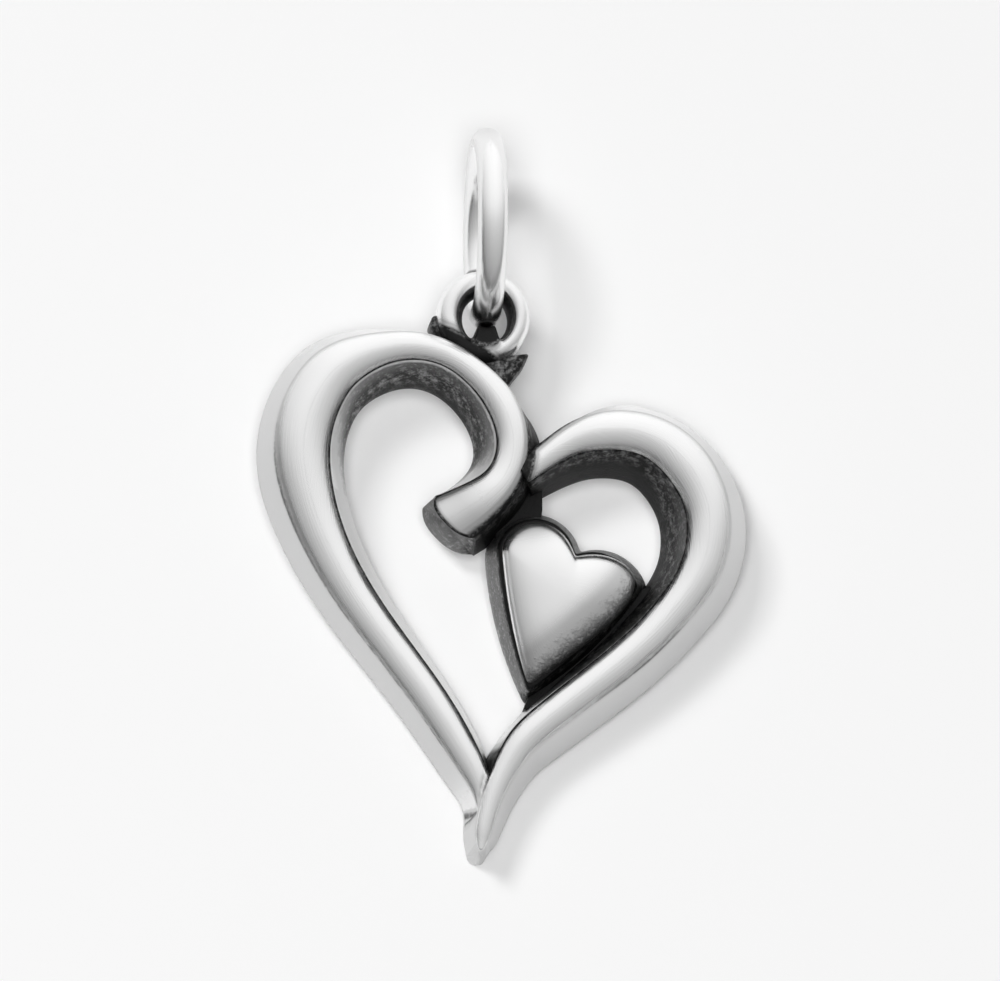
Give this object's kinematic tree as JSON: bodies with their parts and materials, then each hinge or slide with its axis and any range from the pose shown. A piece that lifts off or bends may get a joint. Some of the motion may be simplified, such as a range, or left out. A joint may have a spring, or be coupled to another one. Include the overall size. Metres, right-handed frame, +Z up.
{
  "type": "open heart charm",
  "caption": "Open heart charm of tapering domed limbs, the left scrolled inward, holding a small puffed heart, with an eyelet and a jump ring.",
  "frame": {"origin": "top of the jump ring, on the inside of its wire, where a chain bears", "axes": "+Z up as the charm hangs, face towards -Y, +X to the right of the face as seen from the front"},
  "size_m": [0.0164, 0.0068, 0.0248],
  "materials": {
    "ring_wire": "drawn silver wire, polished",
    "polished_silver": "cast silver, mirror-polished domes and outer walls",
    "oxidised_silver": "blackened cast silver, matte and finely pitted"
  },
  "bodies": {
    "ring": {"jump_ring": "ring_wire"},
    "charm": {"left_scroll_limb": "polished_silver", "right_limb": "polished_silver", "small_heart_puff": "polished_silver", "small_heart_base": "oxidised_silver", "scroll_web": "oxidised_silver", "recess_web": "oxidised_silver", "eyelet": "polished_silver", "eyelet_left_foot": "oxidised_silver", "eyelet_right_foot": "oxidised_silver"}
  },
  "joints": [
    {"name": "swing", "type": "hinge", "parent": "ring", "child": "charm", "pos_m": [0, 0, -0.00526], "axis": [0, 1, 0], "range_deg": [-110, 88]}
  ]
}
